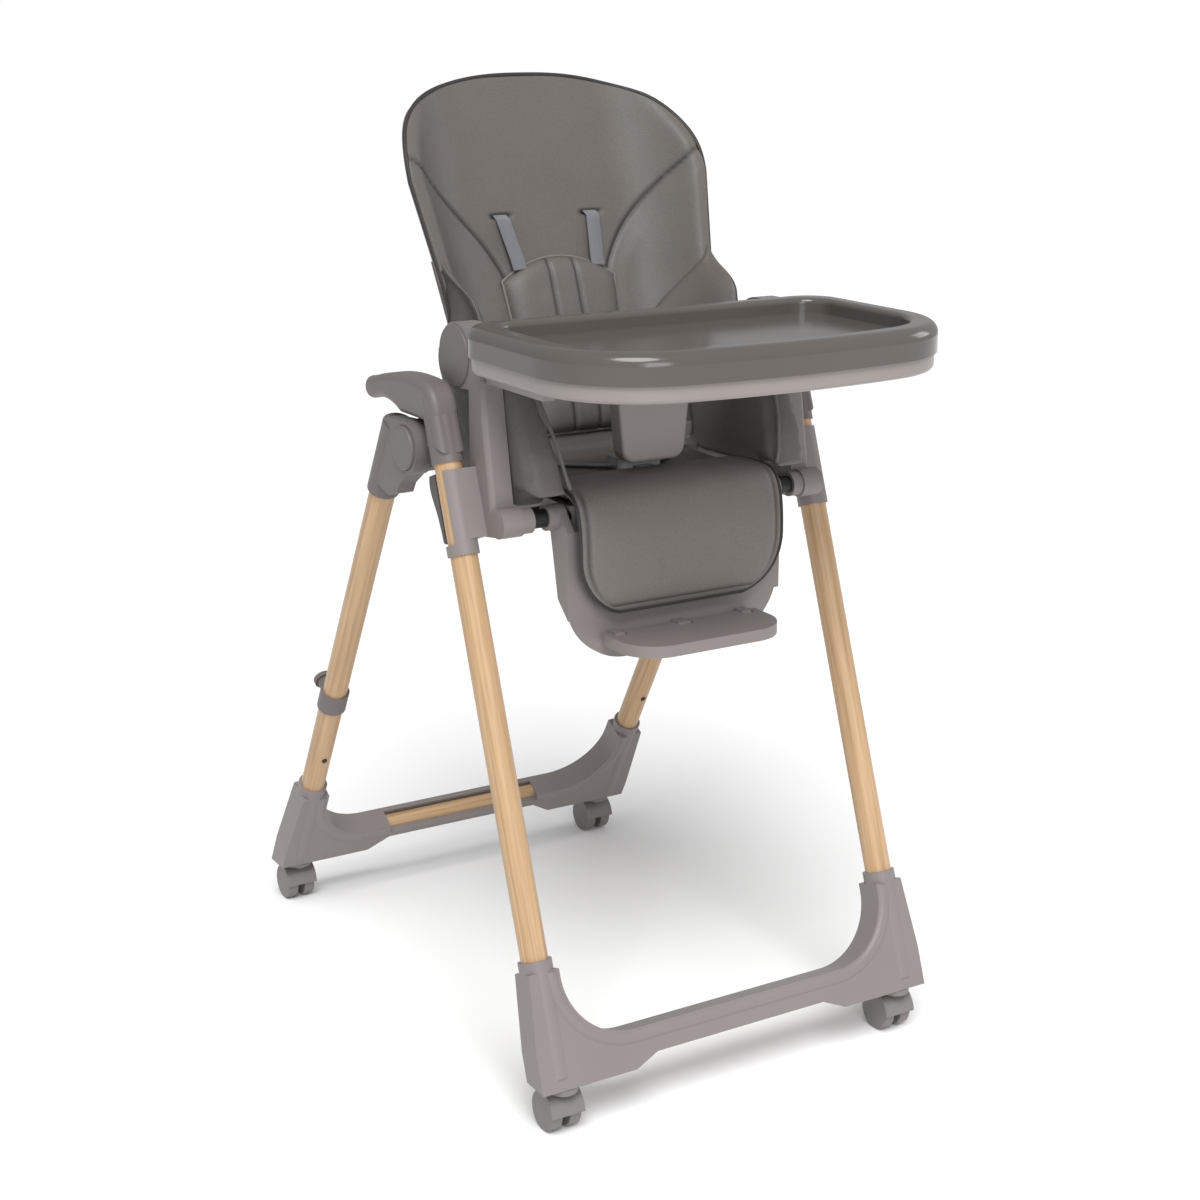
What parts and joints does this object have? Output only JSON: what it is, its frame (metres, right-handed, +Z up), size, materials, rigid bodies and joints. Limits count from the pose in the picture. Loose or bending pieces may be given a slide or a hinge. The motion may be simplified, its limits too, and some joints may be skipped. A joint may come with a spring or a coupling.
{
  "type": "baby high chair",
  "caption": "Folding height-adjustable high chair with padded reclining seat, legrest, sliding tray and casters.",
  "frame": {"origin": "centre of the overall box's underside, on the floor", "axes": "+Z up, -Y the front where the tray is, +X the chair's side"},
  "size_m": [0.526, 0.8289, 1.08],
  "materials": {
    "grey_plastic": "fine grained satin",
    "dark_plastic": "satin",
    "tray_plastic": "smooth satin",
    "wood_look": "light oak, satin",
    "dark_steel": "satin",
    "steel": "satin",
    "seat_leather": "soft imitation leather",
    "webbing": "woven webbing"
  },
  "bodies": {
    "front_frame": {"front_foot_bar": "grey_plastic", "front_leg_stubs": "wood_look", "front_leg_tube_left": "wood_look", "front_leg_tube_right": "wood_look", "front_snap_buttons": "dark_steel", "hub_left": "grey_plastic", "hub_right": "grey_plastic", "hub_screws": "steel", "fold_pivot_pins": "steel"},
    "rear_frame": {"rear_foot_bar": "grey_plastic", "rear_cross_tube": "wood_look", "rear_leg_stubs": "wood_look", "rear_leg_tube_left": "wood_look", "rear_leg_tube_right": "wood_look", "rear_snap_buttons": "dark_steel", "rear_leg_bracket_left": "grey_plastic", "rear_leg_bracket_right": "grey_plastic", "tray_hooks": "grey_plastic"},
    "fold_button_left": {"fold_button_left": "grey_plastic"},
    "fold_button_right": {"fold_button_right": "grey_plastic"},
    "seat": {"side_column_left": "grey_plastic", "side_column_right": "grey_plastic", "armrest_caps": "grey_plastic", "slider_left": "grey_plastic", "slider_right": "grey_plastic", "seat_cross_tubes": "dark_steel", "seat_pan": "grey_plastic", "backrest_hinge_pin": "steel", "seat_cushion": "seat_leather", "seat_side_pad_left": "seat_leather", "seat_side_pad_right": "seat_leather", "lap_straps": "webbing", "crotch_strap": "webbing", "buckle": "grey_plastic"},
    "height_lever_left": {"height_lever_left": "dark_plastic"},
    "height_lever_right": {"height_lever_right": "dark_plastic"},
    "buckle_button": {"buckle_button": "grey_plastic"},
    "backrest": {"backrest_shell": "grey_plastic", "backrest_cushion": "seat_leather", "backrest_wings": "seat_leather", "insert_pad": "seat_leather", "shoulder_straps": "webbing"},
    "recline_handle": {"recline_handle": "grey_plastic"},
    "legrest": {"legrest_panel": "grey_plastic", "legrest_cushion": "seat_leather"},
    "footrest": {"footrest": "grey_plastic"},
    "tray": {"tray_base": "grey_plastic"},
    "tray_release_button": {"tray_release_button": "grey_plastic"},
    "tray_insert": {"tray_insert": "tray_plastic"},
    "caster_front_left": {"caster_fork_front_left": "grey_plastic"},
    "wheels_front_left": {"caster_wheels_front_left": "grey_plastic"},
    "caster_front_right": {"caster_fork_front_right": "grey_plastic"},
    "wheels_front_right": {"caster_wheels_front_right": "grey_plastic"},
    "caster_rear_left": {"caster_fork_rear_left": "grey_plastic"},
    "wheels_rear_left": {"caster_wheels_rear_left": "grey_plastic"},
    "caster_rear_right": {"caster_fork_rear_right": "grey_plastic"},
    "wheels_rear_right": {"caster_wheels_rear_right": "grey_plastic"},
    "brake_lever_left": {"brake_lever_left": "grey_plastic"},
    "brake_lever_right": {"brake_lever_right": "grey_plastic"}
  },
  "joints": [
    {"name": "frame_fold", "type": "hinge", "parent": "front_frame", "child": "rear_frame", "pos_m": [0, -0.036, 0.695], "axis": [-1, 0, 0], "range_deg": [0, 42]},
    {"name": "fold_button_left_press", "type": "slide", "parent": "rear_frame", "child": "fold_button_left", "axis": [1, 0, 0], "range_m": [0, 0.004], "stiffness_N_per_m": 500},
    {"name": "fold_button_right_press", "type": "slide", "parent": "rear_frame", "child": "fold_button_right", "axis": [-1, 0, 0], "range_m": [0, 0.004], "stiffness_N_per_m": 500},
    {"name": "seat_height", "type": "slide", "parent": "front_frame", "child": "seat", "axis": [0, 0.3379, 0.9412], "range_m": [-0.26, 0]},
    {"name": "height_lever_left_lift", "type": "slide", "parent": "seat", "child": "height_lever_left", "axis": [0, 0.3379, 0.9412], "range_m": [0, 0.006], "stiffness_N_per_m": 400},
    {"name": "height_lever_right_lift", "type": "slide", "parent": "seat", "child": "height_lever_right", "axis": [0, 0.3379, 0.9412], "range_m": [0, 0.006], "stiffness_N_per_m": 400},
    {"name": "buckle_press", "type": "slide", "parent": "seat", "child": "buckle_button", "axis": [0, 0, -1], "range_m": [0, 0.0025], "stiffness_N_per_m": 400, "springref_m": -0.0005},
    {"name": "backrest_recline", "type": "hinge", "parent": "seat", "child": "backrest", "pos_m": [0, 0.028, 0.616], "axis": [-1, 0, 0], "range_deg": [0, 35]},
    {"name": "recline_handle_pull", "type": "slide", "parent": "backrest", "child": "recline_handle", "axis": [0, 0.342, 0.9397], "range_m": [0, 0.008], "stiffness_N_per_m": 300},
    {"name": "legrest_raise", "type": "hinge", "parent": "seat", "child": "legrest", "pos_m": [0, -0.16, 0.63], "axis": [-1, 0, 0], "range_deg": [0, 70]},
    {"name": "footrest_flip", "type": "hinge", "parent": "legrest", "child": "footrest", "pos_m": [0, -0.203, 0.497], "axis": [-1, 0, 0], "range_deg": [0, 63]},
    {"name": "tray_slide", "type": "slide", "parent": "seat", "child": "tray", "axis": [0, -1, 0], "range_m": [0, 0.045]},
    {"name": "tray_release_press", "type": "slide", "parent": "tray", "child": "tray_release_button", "axis": [0, 0, 1], "range_m": [0, 0.003], "stiffness_N_per_m": 400, "springref_m": -0.001},
    {"name": "tray_insert_lift", "type": "slide", "parent": "tray", "child": "tray_insert", "axis": [0, 0, 1], "range_m": [0, 0.08]},
    {"name": "swivel_front_left", "type": "hinge", "parent": "front_frame", "child": "caster_front_left", "pos_m": [-0.223, -0.322, 0.05], "axis": [0, 0, 1], "continuous": true},
    {"name": "roll_front_left", "type": "hinge", "parent": "caster_front_left", "child": "wheels_front_left", "pos_m": [-0.223, -0.308, 0.0225], "axis": [1, 0, 0], "continuous": true},
    {"name": "swivel_front_right", "type": "hinge", "parent": "front_frame", "child": "caster_front_right", "pos_m": [0.223, -0.322, 0.05], "axis": [0, 0, 1], "continuous": true},
    {"name": "roll_front_right", "type": "hinge", "parent": "caster_front_right", "child": "wheels_front_right", "pos_m": [0.223, -0.308, 0.0225], "axis": [1, 0, 0], "continuous": true},
    {"name": "swivel_rear_left", "type": "hinge", "parent": "rear_frame", "child": "caster_rear_left", "pos_m": [-0.232, 0.378, 0.05], "axis": [0, 0, 1], "continuous": true},
    {"name": "roll_rear_left", "type": "hinge", "parent": "caster_rear_left", "child": "wheels_rear_left", "pos_m": [-0.232, 0.392, 0.0225], "axis": [1, 0, 0], "continuous": true},
    {"name": "swivel_rear_right", "type": "hinge", "parent": "rear_frame", "child": "caster_rear_right", "pos_m": [0.232, 0.378, 0.05], "axis": [0, 0, 1], "continuous": true},
    {"name": "roll_rear_right", "type": "hinge", "parent": "caster_rear_right", "child": "wheels_rear_right", "pos_m": [0.232, 0.392, 0.0225], "axis": [1, 0, 0], "continuous": true},
    {"name": "brake_left_press", "type": "hinge", "parent": "caster_rear_left", "child": "brake_lever_left", "pos_m": [-0.232, 0.4, 0.05075], "axis": [-1, 0, 0], "range_deg": [0, 12]},
    {"name": "brake_right_press", "type": "hinge", "parent": "caster_rear_right", "child": "brake_lever_right", "pos_m": [0.232, 0.4, 0.05075], "axis": [-1, 0, 0], "range_deg": [0, 12]}
  ]
}
